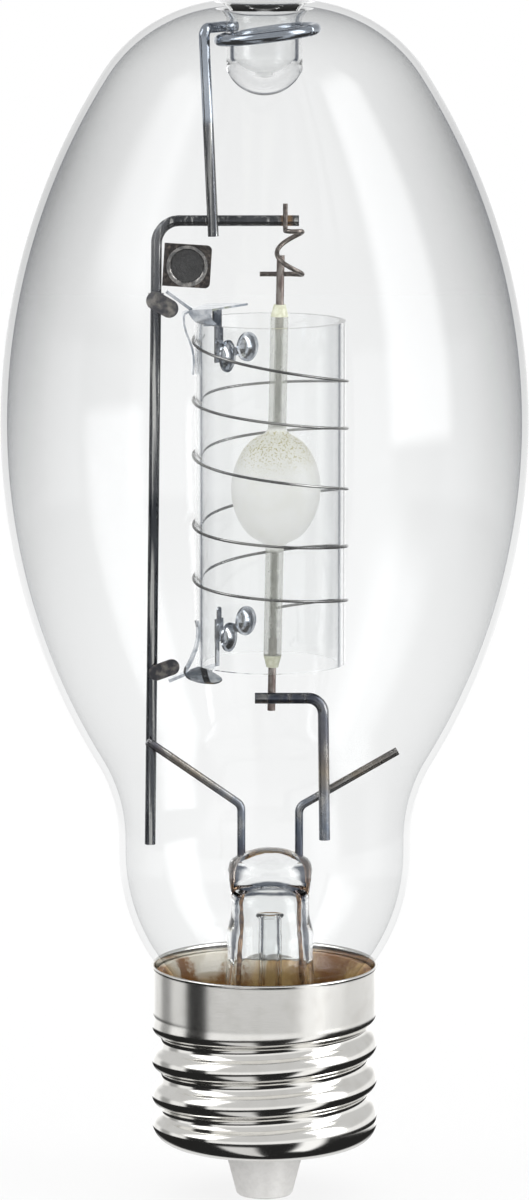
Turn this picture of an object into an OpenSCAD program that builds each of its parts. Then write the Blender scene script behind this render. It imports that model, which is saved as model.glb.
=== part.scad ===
// High intensity discharge lamp: a blown glass bulb on a rolled screw base, with a
// ceramic arc tube inside a quartz shroud, carried on one bent frame rod.
// The bottom of the centre contact is at the origin and the lamp stands along +Z.
// The front, towards -Y, is the side that shows the crossing lead wires.

/* [Bulb] */
// Widest diameter of the blown bulb
bulb_d = 92.4; // [88:0.2:98]
// Height of the crown above the centre contact
bulb_top = 212.4; // [208:0.2:220]
// Height of the widest ring
widest_z = 137.7; // [132:0.5:142]
// Radius of the long side curve
side_r = 114.6; // [110:0.5:120]
// Radius of the shoulder curve
shoulder_r = 27.4; // [24:0.2:30]
// Radius of the flat crown
crown_r = 57; // [50:0.5:70]
// Radius of the hollow curve that runs in to the neck
hollow_r = 27.8; // [24:0.5:32]
// Diameter of the neck at its straight part
neck_d = 51.44; // [49:0.2:53]
// Height at which the neck starts to close in
neck_z = 61.8; // [60:0.2:63]
// Radius of the curve that closes the neck in to the base
root_r = 33.5; // [32:0.25:35]
// Diameter of the glass tail inside the base
tail_d = 32.8; // [31:0.2:34]
// Radius of the curve between the neck and the tail
tail_fillet = 8; // [5:0.5:10]
// Height of the lower end of the glass tail
tail_z = 18; // [16:0.5:20]
// Glass thickness
glass_t = 1.2; // [0.8:0.1:1.6]

/* [Dimple] */
// Outer diameter of the cup that hangs from the crown
cup_d = 13.3; // [11:0.1:14]
// Height of the round bottom of the cup
cup_z = 195.4; // [192:0.2:199]
// Radius of the round bottom of the cup
cup_r = 7.22; // [7.1:0.02:8]
// Thickness of the glass at the bottom of the cup
cup_floor = 2.6; // [1.6:0.1:3.4]
// Rounding of the mouth of the cup
mouth_r = 3.4; // [2.6:0.1:4.5]
// Wire diameter of the collar round the cup
collar_wire = 1.95; // [1.5:0.05:2.2]
// Diameter of the collar along its wire centre
collar_d = 16.8; // [16.4:0.1:18]
// Height of the middle of the collar
collar_z = 206; // [205:0.1:206.6]
// Tilt of the collar
collar_tilt = 7; // [0:0.5:9]

/* [Frame] */
// Diameter of the frame rod
rod_d = 1.9; // [1.4:0.05:2.3]
// Distance of the frame rod from the lamp axis at its foot
rod_foot_x = 20.2; // [19.6:0.1:20.8]
// Distance of the frame rod from the lamp axis at its top
rod_top_x = 18.75; // [18.6:0.05:19.2]
// Height of the foot of the frame rod
rod_foot_z = 63.2; // [62:0.2:68]
// Height of the cross arm over the shroud
arm_z = 173.6; // [172.6:0.1:176]
// Reach of the cross arm past the lamp axis
arm_reach = 6; // [5:0.1:8]
// Bend radius of the frame rod
rod_bend = 4; // [3:0.1:5]
// Diameter of the rod that hangs on the dimple
support_d = 1.9; // [1.4:0.05:2.2]
// Foot of the dimple rod left of the axis
support_foot_x = 8.9; // [8.6:0.05:9.8]
// Head of the dimple rod left of the axis
support_head_x = 10.5; // [10.4:0.05:11.2]
// Clearance between pieces that are welded or fused together
weld_gap = 0.03; // [0.01:0.01:0.08]

/* [Getter] */
// Width of the getter plate
plate_w = 8.3; // [7:0.1:8.6]
// Height of the getter plate
plate_h = 7.5; // [6.5:0.1:8]
// Thickness of the getter plate
plate_t = 0.4; // [0.3:0.05:0.6]
// Height of the middle of the getter plate
plate_z = 166; // [164.6:0.1:167]
// Outer diameter of the getter ring
getter_d = 7.2; // [6:0.1:7.4]
// Depth of the getter ring
getter_h = 0.9; // [0.6:0.05:1.2]

/* [Shroud] */
// Outer diameter of the quartz shroud
shroud_d = 26.4; // [25.6:0.1:26.6]
// Wall of the quartz shroud
shroud_t = 1.2; // [0.9:0.05:1.6]
// Height of the lower rim of the shroud
shroud_z = 95.7; // [94:0.1:97]
// Length of the shroud
shroud_len = 60.4; // [58:0.1:61]
// Shift of the mount axis from the bulb axis
mount_x = 1; // [0:0.1:1.4]
// Wire diameter of the containment coil
wrap_d = 0.5; // [0.35:0.05:0.6]
// Mean rise of the containment coil for one turn
wrap_pitch = 10.2; // [9.6:0.1:10.6]
// Number of turns of the containment coil
wrap_turns = 4.75; // [4:0.05:4.8]

/* [Arc tube] */
// Height of the middle of the ceramic body, the light centre
light_z = 126.65; // [125:0.05:128]
// Greatest diameter of the ceramic body
arc_d = 15.7; // [14:0.1:17]
// Length of the ceramic body without its fillets
arc_len = 19.9; // [18:0.1:21]
// Radius of the round ends of the ceramic body
arc_end_r = 6.9; // [6.4:0.05:7]
// Wall of the ceramic body
arc_t = 0.9; // [0.7:0.05:1.2]
// Lean of the arc tube
arc_lean = 1.17; // [0:0.01:1.5]
// Shift of the ceramic body from the mount axis
arc_x = 1; // [0:0.1:1.5]
// Diameter of the ceramic capillaries
cap_d = 3.15; // [2.7:0.05:3.5]
// Fillet between the ceramic body and a capillary
cap_fillet = 1.8; // [1:0.1:2.5]
// Length from the middle of the body to the end of the upper capillary
cap_up = 30.2; // [29:0.1:31]
// Length from the middle of the body to the end of the lower capillary
cap_down = 29.6; // [29:0.1:31]
// Diameter of the wires that feed the arc tube
feed_d = 1.4; // [1.2:0.05:1.6]
// Clearance of the feed wires in the capillaries
feed_gap = 0.05; // [0.02:0.01:0.1]
// Length of the upper feed wire beyond its capillary
feed_up = 10.7; // [10.5:0.1:11.4]
// Length of the lower feed wire beyond its capillary, or more where the lead rod is lower
feed_down = 9.9; // [9.7:0.1:11]
// Least length of the lower feed wire below the middle of the lead rod's arm
feed_past = 2.2; // [1.6:0.1:2.8]
// Length of the glass frit that seals a capillary
frit_len = 2.1; // [1.5:0.1:2.6]
// Diameter of the inner conductor and electrode
electrode_d = 1; // [0.7:0.05:1.15]
// Half of the gap between the electrode tips
arc_gap = 5; // [3.5:0.1:7]
// Wire diameter of the top connector
link_d = 0.85; // [0.7:0.05:1]
// Radius of the loop in the top connector
link_r = 2.2; // [2:0.05:2.4]

/* [Leads] */
// Diameter of the lower lead rod
lead_d = 1.95; // [1.6:0.05:2.2]
// Height of the arm of the lower lead rod
lead_arm_z = 89.6; // [88.6:0.1:90.5]
// Distance of the lower lead rod from the lamp axis
lead_x = 10.6; // [10:0.05:11]
// Height of the foot of the lower lead rod
lead_foot_z = 64.3; // [63.6:0.1:68]
// Diameter of the two posts that rise from the press
post_d = 1.45; // [1.2:0.05:1.7]
// Half of the distance between the two posts
post_half = 5.1; // [4.7:0.05:5.4]
// Height at which the posts bend outwards
post_bend_z = 70.2; // [69.6:0.1:70.8]
// Diameter of the thin seal wires under the press
seal_d = 0.8; // [0.6:0.05:1]

/* [Stem] */
// Outer diameter of the stem tube and its press
stem_d = 15; // [14.4:0.1:15.6]
// Height of the top of the press
stem_top = 62.5; // [61.6:0.1:63.5]
// Height of the shoulder of the press
stem_shoulder = 60; // [59:0.1:60.6]
// Height of the underside of the press
stem_floor = 54.6; // [53:0.1:56]
// Height at which the stem tube starts to flare
flare_z = 46; // [44:0.2:48]
// Diameter of the rim of the flare
flare_d = 28.2; // [27:0.1:28.3]
// Glass thickness of the stem
stem_t = 1.3; // [1:0.05:1.6]
// Diameter of the exhaust tube
exhaust_d = 4.05; // [3.6:0.05:4.6]
// Height of the open top of the exhaust tube
exhaust_top = 51; // [49:0.1:52.5]
// Height of the sealed tip of the exhaust tube
exhaust_tip = 14; // [13.4:0.1:16]

/* [Base] */
// Diameter over the rolled thread
thread_d = 39.4; // [39:0.05:39.5]
// Pitch of the thread
thread_pitch = 6.35; // [6.2:0.05:6.5]
// Depth of the thread
thread_depth = 1.75; // [1.5:0.05:1.8]
// Diameter of the plain skirt
skirt_d = 39; // [38.9:0.05:39.2]
// Height of the rim of the shell
rim_z = 41.8; // [41:0.1:42]
// Height at which the thread runs out under the skirt
runout_z = 33.4; // [33:0.1:35]
// Height of a crest at the front
crest_z = 26.2; // [25:0.1:27]
// Sheet thickness of the shell
shell_t = 0.35; // [0.25:0.05:0.4]
// Radius of the rolled bottom corner
corner_r = 3.65; // [3.2:0.05:4]
// Height of the bottom edge of the shell
shell_z = 10.05; // [9.6:0.05:10.4]
// Diameter of the opening in the bottom of the shell
shell_hole = 26.4; // [25:0.1:27.4]
// Diameter of the bottom of the centre contact
contact_d = 10; // [9:0.1:11]
// Diameter of the top of the centre contact
contact_top_d = 14.1; // [13:0.1:15]
// Height of the centre contact below the insulator
contact_h = 8.2; // [7.6:0.1:8.6]
// Sheet thickness of the centre contact
contact_t = 0.8; // [0.5:0.05:1]
// Diameter of the eyelet in the centre contact
eyelet_d = 2.6; // [2:0.1:3.2]
// Clearance between the cement and its neighbours
cement_gap = 0.06; // [0.03:0.01:0.12]

/* [Clips] */
// Sheet thickness of the shroud clips
clip_t = 0.38; // [0.25:0.01:0.45]
// Width of the spring legs
leg_w = 2.6; // [1.8:0.1:3]
// Diameter of the large round pad
upper_pad_d = 5.7; // [5.2:0.1:5.9]
// Diameter of the other round pads
lower_pad_d = 5.2; // [4.6:0.1:5.4]
// Width of the flat rim round the dome of a pad
pad_rim = 0.45; // [0.3:0.05:0.8]

/* [Hidden] */
$fn = 64;

// Vector helpers
function unit(v) = v / norm(v);
function across(d) = abs(d.z) < 0.9 ? unit(cross([0, 0, 1], d)) : unit(cross([0, 1, 0], d));
function ease(a, b, v) = let (s = max(0, min(1, (v - a) / (b - a)))) s * s * (3 - 2 * s);

// Places children with their axes along e1, e2 and e3 at p
module placed(p, e1, e2, e3) {
    multmatrix([[e1.x, e2.x, e3.x, p.x], [e1.y, e2.y, e3.y, p.y], [e1.z, e2.z, e3.z, p.z], [0, 0, 0, 1]])
        children();
}

// A straight round bar from a to b
module bar(a, b, r) {
    d = unit(b - a);
    e1 = across(d);
    placed(a, e1, cross(d, e1), d) cylinder(r = r, h = norm(b - a));
}

// A round rod through the points pts, bent with the centre-line radius bend.
// An elbow is a little fuller than the rod, and the straight lengths run into it.
lap = 0.06;
elbow_extra = 0.015;
function set_back(pts, i, bend) = (i == 0 || i == len(pts) - 1) ? 0 :
    let (d1 = unit(pts[i] - pts[i - 1]), d2 = unit(pts[i + 1] - pts[i]))
    bend * tan(acos(min(1, d1 * d2)) / 2);
module rod(pts, r, bend) {
    for (i = [0 : len(pts) - 2]) {
        d = unit(pts[i + 1] - pts[i]);
        bar(pts[i] + d * (set_back(pts, i, bend) - (i > 0 ? lap : 0)),
            pts[i + 1] - d * (set_back(pts, i + 1, bend) - (i < len(pts) - 2 ? lap : 0)), r);
    }
    for (i = [1 : 1 : len(pts) - 2]) {
        d1 = unit(pts[i] - pts[i - 1]);
        d2 = unit(pts[i + 1] - pts[i]);
        n = unit(d2 - (d2 * d1) * d1);
        start = pts[i] - d1 * set_back(pts, i, bend);
        placed(start + n * bend, -n, d1, cross(-n, d1))
            rotate_extrude(angle = acos(d1 * d2)) translate([bend, 0]) circle(r = r + elbow_extra);
    }
}

// A wire swept along many points, for coils
function tangents(p) = [for (i = [0 : len(p) - 1]) unit(p[min(i + 1, len(p) - 1)] - p[max(i - 1, 0)])];
function carried(t, i, n) = i == len(t) ? [] :
    let (m = unit(n - (n * t[i]) * t[i])) concat([m], carried(t, i + 1, m));
module swept(p, r, sides) {
    t = tangents(p);
    n = carried(t, 0, across(t[0]));
    last = len(p) - 1;
    verts = [for (i = [0 : last]) for (k = [0 : sides - 1]) let (a = 360 * k / sides)
        p[i] + r * (cos(a) * n[i] + sin(a) * cross(t[i], n[i]))];
    walls = [for (i = [0 : last - 1]) for (k = [0 : sides - 1]) let (m = (k + 1) % sides)
        [i * sides + k, (i + 1) * sides + k, (i + 1) * sides + m, i * sides + m]];
    polyhedron(verts, concat(walls, [[for (k = [0 : sides - 1]) k]],
        [[for (k = [sides - 1 : -1 : 0]) last * sides + k]]), convexity = 8);
}

// A strip of sheet along a flat line of points, t thick and w wide
function side_point(p, i, o) =
    let (a = p[max(i - 1, 0)], b = p[min(i + 1, len(p) - 1)], d = unit(b - a)) p[i] + o * [-d.y, d.x];
module strip(p, t, w) {
    n = len(p);
    rotate([90, 0, 0]) linear_extrude(w, center = true) polygon(concat(
        [for (i = [0 : n - 1]) side_point(p, i, t / 2)],
        [for (i = [n - 1 : -1 : 0]) side_point(p, i, -t / 2)]));
}

// Bulb outline: a chain of tangent arcs from the crown to the tail
bulb_r = bulb_d / 2;
side_c = [bulb_r - side_r, widest_z];
crown_c = [0, bulb_top - crown_r];
function meet(c1, r1, c2, r2) =
    let (d = c2 - c1, l = norm(d), a = (r1 * r1 - r2 * r2 + l * l) / (2 * l), h = sqrt(r1 * r1 - a * a))
    c1 + a * d / l + h * [d.y, -d.x] / l;
shoulder_c = meet(crown_c, crown_r - shoulder_r, side_c, side_r - shoulder_r);
root_c = [neck_d / 2 - root_r, neck_z];
// The hollow curve ends in a straight neck, or runs into the root curve where it reaches so low
hollow_x = neck_d / 2 + hollow_r;
hollow_z = widest_z - sqrt(pow(side_r + hollow_r, 2) - pow(hollow_x - side_c.x, 2));
has_neck = hollow_z > neck_z;
hollow_c = has_neck ? [hollow_x, hollow_z] : meet(root_c, root_r + hollow_r, side_c, side_r + hollow_r);
fillet_c = [tail_d / 2 + tail_fillet,
    neck_z - sqrt(pow(root_r + tail_fillet, 2) - pow(tail_d / 2 + tail_fillet - root_c.x, 2))];
function way(c, other) = atan2(other.y - c.y, other.x - c.x);
neck_a = has_neck ? 0 : way(root_c, hollow_c);
function arc(c, r, a0, a1, n) = [for (i = [0 : n]) let (a = a0 + (a1 - a0) * i / n) c + r * [cos(a), sin(a)]];

// The mouth of the dimple is tangent to the crown, or to the shoulder where that reaches so far in
cup_out = cup_d / 2;
cup_in = cup_out - glass_t;
mouth_x = cup_in + mouth_r;
function under(c, r) = [mouth_x, c.y + sqrt(pow(r - mouth_r, 2) - pow(mouth_x - c.x, 2))];
crown_edge = way(crown_c, shoulder_c);
has_crown = way(crown_c, under(crown_c, crown_r)) > crown_edge;
roof_c = has_crown ? crown_c : shoulder_c;
mouth_c = under(roof_c, has_crown ? crown_r : shoulder_r);
mouth_a = way(roof_c, mouth_c);

// The bulb outline set in by t, from the tail up to the edge of the dimple
function outline(t) = concat(
    [[tail_d / 2 - t, tail_z]],
    arc(fillet_c, tail_fillet + t, 180, way(fillet_c, root_c), 6),
    arc(root_c, root_r - t, way(fillet_c, root_c) - 180, neck_a, 12),
    arc(hollow_c, hollow_r + t, 180 + neck_a, way(hollow_c, side_c), 10),
    arc(side_c, side_r - t, way(hollow_c, side_c) - 180, way(side_c, shoulder_c), 40),
    arc(shoulder_c, shoulder_r - t, way(side_c, shoulder_c), has_crown ? crown_edge : mouth_a, 18),
    has_crown ? arc(crown_c, crown_r - t, crown_edge, mouth_a, 2) : []);

// Dimple: the mouth rolls over into a straight cup with a round bottom
cup_inner_r = cup_in + 0.2;
function dimple(t) = concat(
    arc(mouth_c, mouth_r - t, mouth_a, 180, 12),
    t > 0 ? arc([0, cup_z + cup_r], cup_r, -acos(cup_out / cup_r), -90, 10) :
        arc([0, cup_z + cup_floor + cup_inner_r], cup_inner_r, -acos(cup_in / cup_inner_r), -90, 10));
function turned(p) = [for (i = [len(p) - 1 : -1 : 0]) p[i]];
module outer_bulb() {
    color("lightcyan", 0.35) rotate_extrude($fn = 128) polygon(concat(
        outline(0), dimple(0), turned(dimple(glass_t)), turned(outline(glass_t))));
}

// Stem: the press holds both posts, the flare is sealed into the tail of the bulb
stem_r = stem_d / 2;
press_dome_r = (stem_r * stem_r + pow(stem_top - stem_shoulder, 2)) / (2 * (stem_top - stem_shoulder));
flare_r = flare_d / 2;
flare_drop = flare_z - tail_z;
flare_arc = (pow(flare_r - stem_r, 2) + flare_drop * flare_drop) / (2 * (flare_r - stem_r));
module stem_profile(t) {
    floor_z = t > 0 ? stem_floor : stem_shoulder;
    translate([0, flare_z]) square([stem_r - t, floor_z - flare_z]);
    difference() {
        translate([0, tail_z]) square([flare_r - t + 0.5, flare_drop]);
        translate([stem_r + flare_arc, flare_z]) circle(r = flare_arc + t, $fn = 240);
        translate([flare_r - t, tail_z - 1]) square([5, flare_drop + 2]);
    }
}
module on_stem() {
    translate([mount_x, 0, 0]) children();
}
module stem_flare() {
    bore = seal_d / 2 + weld_gap;
    color("azure", 0.5) on_stem() difference() {
        rotate_extrude() {
            difference() {
                stem_profile(0);
                stem_profile(stem_t);
                translate([0, tail_z - 1]) square([flare_r - stem_t, 1.5]);
            }
            intersection() {
                translate([0, stem_shoulder]) square([stem_r, 9]);
                translate([0, stem_top - press_dome_r]) circle(r = press_dome_r);
            }
        }
        for (s = [-1, 1]) {
            translate([s * post_half, 0, press_seat]) cylinder(r = post_d / 2 + weld_gap, h = 20);
            translate([s * post_half, 0, stem_floor - 1]) cylinder(r = bore, h = 20);
        }
    }
}
// The posts end inside the press, where the thin seal wires take over
press_seat = stem_floor + 2;

module exhaust_tube() {
    color("azure", 0.5) on_stem() rotate_extrude() {
        difference() {
            union() {
                translate([0, exhaust_tip + exhaust_d / 2]) square([exhaust_d / 2,
                    exhaust_top - exhaust_tip - exhaust_d / 2]);
                intersection() {
                    translate([0, exhaust_tip + exhaust_d / 2]) circle(r = exhaust_d / 2);
                    translate([0, exhaust_tip - 1]) square([exhaust_d, exhaust_d / 2 + 1]);
                }
            }
            translate([0, exhaust_tip + exhaust_d / 2 + 1]) square([exhaust_d / 2 - 0.7, 60]);
        }
        translate([exhaust_d / 2 - 0.1, exhaust_top - 0.45]) circle(r = 0.55, $fn = 24);
    }
}

// Shroud and its containment coil
shroud_top = shroud_z + shroud_len;
shroud_r = shroud_d / 2;
shroud_in = shroud_r - shroud_t;
module shroud_tube() {
    color("lightblue", 0.4) translate([mount_x, 0, shroud_z]) difference() {
        cylinder(r = shroud_r, h = shroud_len);
        translate([0, 0, -1]) cylinder(r = shroud_in, h = shroud_len + 2);
    }
}
// The coil is drawn in straight lengths, and the middle of each one just clears the tube
wrap_steps = 36;
wrap_r = (shroud_r + wrap_d / 2 + weld_gap) / cos(180 / wrap_steps);
// How far the hand-wound coil sits from an even one at each half turn
wrap_sag = [0, -2.1, -0.3, -0.2, 0.2, -0.7, -1.9, -0.6, -1.2, 0, -2.2];
function knot(v, i) = v[max(0, min(len(v) - 1, i))];
function smooth(v, s) =
    let (i = floor(s), t = s - i, a = knot(v, i - 1), b = knot(v, i), c = knot(v, i + 1), d = knot(v, i + 2))
    b + 0.5 * t * (c - a + t * (2 * a - 5 * b + 4 * c - d + t * (3 * (b - c) + d - a)));
module wrap_wire() {
    color("dimgray") swept([for (k = [-1 : wrap_turns * wrap_steps])
        let (u = k / wrap_steps, a = 180 + 360 * u)
        [mount_x + wrap_r * cos(a), wrap_r * sin(a),
            shroud_top - 3.4 - wrap_pitch * u + smooth(wrap_sag, 2 * u)]], wrap_d / 2, 6);
}

// Arc tube: an oval ceramic body between two capillaries, on its own leaning axis
function on_arc(c, r, other) = c + r * unit(c - other);
function towards(c, r, other) = c + r * unit(other - c);
arc_r = arc_d / 2;
end_c = arc_len / 2 - arc_end_r;
belly_r = (arc_r * arc_r + end_c * end_c - arc_end_r * arc_end_r) / (2 * (arc_r - arc_end_r));
module on_arc_axis() {
    translate([mount_x + arc_x, 0, light_z]) rotate([0, arc_lean, 0]) children();
}
module oval(t) {
    c = [arc_r - belly_r, 0];
    cut = on_arc([0, end_c], arc_end_r - t, c).y;
    for (s = [0, 1]) mirror([0, s]) {
        intersection() {
            translate(c) circle(r = belly_r - t, $fn = 180);
            square([arc_r, cut]);
        }
        intersection() {
            translate([0, end_c]) circle(r = arc_end_r - t, $fn = 120);
            translate([0, cut]) square([arc_r, arc_len]);
        }
    }
}
module cap_root(s) {
    r = cap_d / 2;
    fz = end_c + sqrt(pow(arc_end_r + cap_fillet, 2) - pow(r + cap_fillet, 2));
    root = towards([0, end_c], arc_end_r, [r + cap_fillet, fz]).y;
    mirror([0, s]) difference() {
        translate([0, root - 0.4]) square([r + cap_fillet, fz - root + 0.4]);
        translate([r + cap_fillet, fz]) circle(r = cap_fillet, $fn = 90);
        translate([0, root - 1]) difference() {
            square([10, 1]);
            translate([0, end_c - root + 1]) circle(r = arc_end_r, $fn = 120);
        }
    }
}
cap_bore = feed_d / 2 + feed_gap;
module arc_tube() {
    color("white") on_arc_axis() rotate_extrude() difference() {
        union() {
            oval(0);
            cap_root(0);
            cap_root(1);
            translate([0, -cap_down]) square([cap_d / 2, cap_up + cap_down]);
        }
        oval(arc_t);
        translate([0, -cap_down - 1]) square([cap_bore, cap_up + cap_down + 2]);
    }
}
module frit() {
    difference() {
        cylinder(r1 = cap_d / 2, r2 = feed_d / 2 + 0.35, h = frit_len);
        translate([0, 0, -1]) cylinder(r = feed_d / 2 + weld_gap, h = frit_len + 2);
    }
}
module upper_frit_seal() {
    color("darkseagreen") on_arc_axis() translate([0, 0, cap_up]) frit();
}
module lower_frit_seal() {
    color("darkseagreen") on_arc_axis() mirror([0, 0, 1]) translate([0, 0, cap_down]) frit();
}
feed_in = 3;
module upper_feedthrough() {
    color("gray") on_arc_axis() translate([0, 0, cap_up - feed_in])
        cylinder(r = feed_d / 2, h = feed_in + feed_up);
}
feed_foot = max(cap_down + feed_down, light_z - lead_arm_z + feed_past);
module lower_feedthrough() {
    color("gray") on_arc_axis() translate([0, 0, -feed_foot])
        cylinder(r = feed_d / 2, h = feed_foot - cap_down + feed_in);
}
// An electrode rod, with the turns of its coil behind the tip
coil_wire = 0.36;
coil_pitch = 0.42;
coil_turns = 5;
module electrode(l) {
    r = electrode_d / 2;
    low = arc_gap + 0.6;
    rotate_extrude() polygon(concat([[0, arc_gap], [r, arc_gap]],
        [for (k = [0 : coil_turns - 1]) each arc([r, low + k * coil_pitch], coil_wire / 2, -90, 90, 4)],
        [[r, l], [0, l]]));
}
module upper_electrode() {
    color("dimgray") on_arc_axis() electrode(cap_up - feed_in);
}
module lower_electrode() {
    color("dimgray") on_arc_axis() mirror([0, 0, 1]) electrode(cap_down - feed_in);
}

// Frame rod, dimple rod and collar
rod_r = rod_d / 2;
function rod_x(z) = -rod_foot_x + (rod_foot_x - rod_top_x) * (z - rod_foot_z) / (arm_z - rod_foot_z);
module frame_rod() {
    color("slategray") rod([[-rod_foot_x, 0, rod_foot_z], [-rod_top_x, 0, arm_z], [arm_reach, 0, arm_z]],
        rod_r, rod_bend);
}
support_y = -rod_r - support_d / 2 - weld_gap;
collar_r = collar_d / 2;
collar_x = 0.5;
perch_a = 152;
perch = [collar_x + collar_r * cos(perch_a), collar_r * sin(perch_a)];
perch_seat = 0.08;
perch_z = collar_z + collar_r * cos(perch_a) * sin(collar_tilt) + (collar_wire + support_d) / 2 + perch_seat;
module dimple_support() {
    color("slategray") rod([[-support_foot_x, support_y, arm_z - rod_r - 1.6],
        [-support_head_x, support_y, perch_z], [perch.x + 0.6, perch.y + 1, perch_z]], support_d / 2, 1.5);
}
module dimple_collar() {
    color("lightslategray") translate([collar_x, 0, collar_z]) rotate([0, -collar_tilt, 0]) {
        rotate([0, 0, -28]) rotate_extrude(angle = 350) translate([collar_r, 0]) circle(r = collar_wire / 2);
        rotate([0, 0, -28]) translate([collar_r, 0, 0]) sphere(r = collar_wire / 2 + 0.05);
    }
}

// Top connector: welded to the front of the arm, one loop, then behind the upper feed wire
link_y = -rod_r - link_d / 2 - weld_gap;
feed_top_z = light_z + cap_up + feed_up;
tail_link_z = feed_top_z - 3.4;
feed_at_link = mount_x + arc_x + sin(arc_lean) * (tail_link_z - light_z);
link_x = feed_at_link + 0.85;
link_cx = link_x + 0.75;
link_back = feed_d / 2 + link_d / 2 + weld_gap;
link_cy = link_back - link_r;
link_top = arm_z + 3.1;
link_low = arm_z - rod_r - 0.7;
// Half way round, the loop passes just over the end of the feed wire
loop_over = 0.12;
link_mid = feed_top_z + link_d / 2 + loop_over;
function link_z(s) =
    s < 0.5 ? link_low + (link_mid - link_low) * pow(ease(0, 0.5, s), 3) :
    link_mid + (tail_link_z - link_mid) * ease(0.5, 0.94, s);
link_turn = [for (k = [0 : 36]) let (s = k / 36, a = -150 + 600 * s, f = ease(0, 0.22, s),
    r0 = norm([link_x - link_cx, link_y - link_cy]), r = r0 + (link_r - r0) * f)
    [link_cx + r * cos(a), link_cy + r * sin(a), link_z(s)]];
module top_connector() {
    color("rosybrown") {
        bar([link_x, link_y, arm_z - rod_r], [link_x, link_y, link_top], link_d / 2);
        swept(concat([[link_x, link_y, arm_z - rod_r + 0.3], [link_x, link_y, arm_z - rod_r - 0.1]],
            link_turn, [[link_cx - 1, link_back, tail_link_z], [link_cx - 5.2, link_back, tail_link_z]]),
            link_d / 2, 8);
    }
}

// Lower lead rod, posts, seal wires and the leads that run down into the base
lead_y = -feed_d / 2 - lead_d / 2 - weld_gap;
module lower_lead_rod() {
    color("slategray") rod([[-1.7, lead_y, lead_arm_z], [lead_x - 0.3, lead_y, lead_arm_z],
        [lead_x, lead_y, lead_foot_z]], lead_d / 2, 2.7);
}
post_r = post_d / 2;
left_x = mount_x - post_half;
right_x = mount_x + post_half;
// The slanting posts cross the rods with a little more room than a weld
post_seat = weld_gap + 0.05;
left_end = [-rod_foot_x - 0.4, -rod_r - post_r - post_seat, 82];
right_end = [23.45, lead_y + lead_d / 2 + post_r + post_seat, 79.9];
module left_lead_post() {
    color("steelblue") rod([[left_x, 0, press_seat + weld_gap], [left_x, 0, post_bend_z], left_end],
        post_r, 1.8);
}
module right_lead_post() {
    color("steelblue") rod([[right_x, 0, press_seat + weld_gap], [right_x, 0, post_bend_z - 0.3], right_end],
        post_r, 1.8);
}
seal_low = 40;
// The leads are butted to the seal wires at a slight angle
joint_gap = 0.1;
module seal_wire(s) {
    on_stem() rod([[s * post_half, 0, press_seat - weld_gap], [s * post_half, 0, stem_floor - 4],
        [s * (post_half + 0.4), -0.8, seal_low]], seal_d / 2, 3);
}
module left_seal_wire() {
    color("sienna") seal_wire(-1);
}
module right_seal_wire() {
    color("sienna") seal_wire(1);
}
module contact_lead() {
    color("sienna") rod([[left_x - 0.4, -0.8, seal_low - joint_gap], [left_x - 1, -1, 22],
        [0.2, 0, contact_h + 1.5], [0, 0, 0.7]], seal_d / 2, 2);
}
module shell_lead() {
    color("sienna") rod([[right_x + 0.4, -0.8, seal_low - joint_gap], [right_x + 2.2, 1, 26],
        [12.5, 0, shell_lead_z], [shell_lead_x, 0, shell_lead_z]], seal_d / 2, 2);
}

// Getter: a dark plate welded to the frame rod, with a metal ring and a disc of getter material
getter_turn = 3.7;
module on_getter() {
    translate([rod_x(plate_z) + rod_r + weld_gap + 0.25, 0, plate_z]) rotate([90, 0, 0])
        rotate([0, 0, -getter_turn]) translate([plate_w / 2, 0, 0]) children();
}
module getter_plate() {
    corner = 0.9;
    color("darkslategray") on_getter() linear_extrude(plate_t, center = true) difference() {
        square([plate_w, plate_h], center = true);
        for (s = [-1, 1]) translate([plate_w / 2 - corner, s * (plate_h / 2 - corner)]) difference() {
            translate([0, s > 0 ? 0 : -corner * 1.5]) square([corner * 1.5, corner * 1.5]);
            circle(r = corner);
        }
    }
}
module getter_ring() {
    color("silver") on_getter() translate([0, 0, plate_t / 2 + weld_gap]) rotate_extrude() difference() {
        translate([getter_d / 2 - 0.75, 0]) square([0.75, getter_h]);
        translate([getter_d / 2 - 0.75, getter_h]) rotate(45) square(0.3, center = true);
    }
}
module getter_disc() {
    color("black") on_getter() translate([0, 0, plate_t / 2 + weld_gap])
        cylinder(r = getter_d / 2 - 0.75 - weld_gap, h = getter_h * 0.55);
}

// Shroud clips: a strap welded round the frame rod, a spring leg outside the tube,
// a finger over the rim and an inner leg with two round pads
strap_t = 0.5;
strap_seat = 0.05;
lean_a = atan((rod_foot_x - rod_top_x) / (arm_z - rod_foot_z));
// A flat strap that lies on the front of the frame rod and runs to the right
module strap_plate(z, reach, drop, back, lobe_r) {
    translate([rod_x(z), -rod_r - weld_gap - strap_t / 2 - strap_seat, z]) rotate([90, drop, 0])
        linear_extrude(strap_t, center = true) {
            translate([-back, -lobe_r]) square([reach + back, 2 * lobe_r]);
            translate([reach, 0]) circle(r = lobe_r);
            translate([-back, 0]) circle(r = lobe_r);
        }
}
module upper_clip_strap() {
    z = shroud_top + 3.6;
    color("darkgray") {
        strap_plate(z, 2.7, 30, 0.1, 1.6);
        // The strap is folded round the rod, and the fold ends against the plate
        translate([rod_x(z), 0, z]) rotate([0, lean_a, 0]) difference() {
            cylinder(r = rod_r + weld_gap + strap_t - 2 * strap_seat, h = 2.4, center = true);
            cylinder(r = rod_r + weld_gap, h = 3, center = true);
        }
    }
}
module lower_clip_strap() {
    color("darkgray") strap_plate(shroud_z - 1.9, 3.7, -20, -0.9, 1.4);
}
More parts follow.
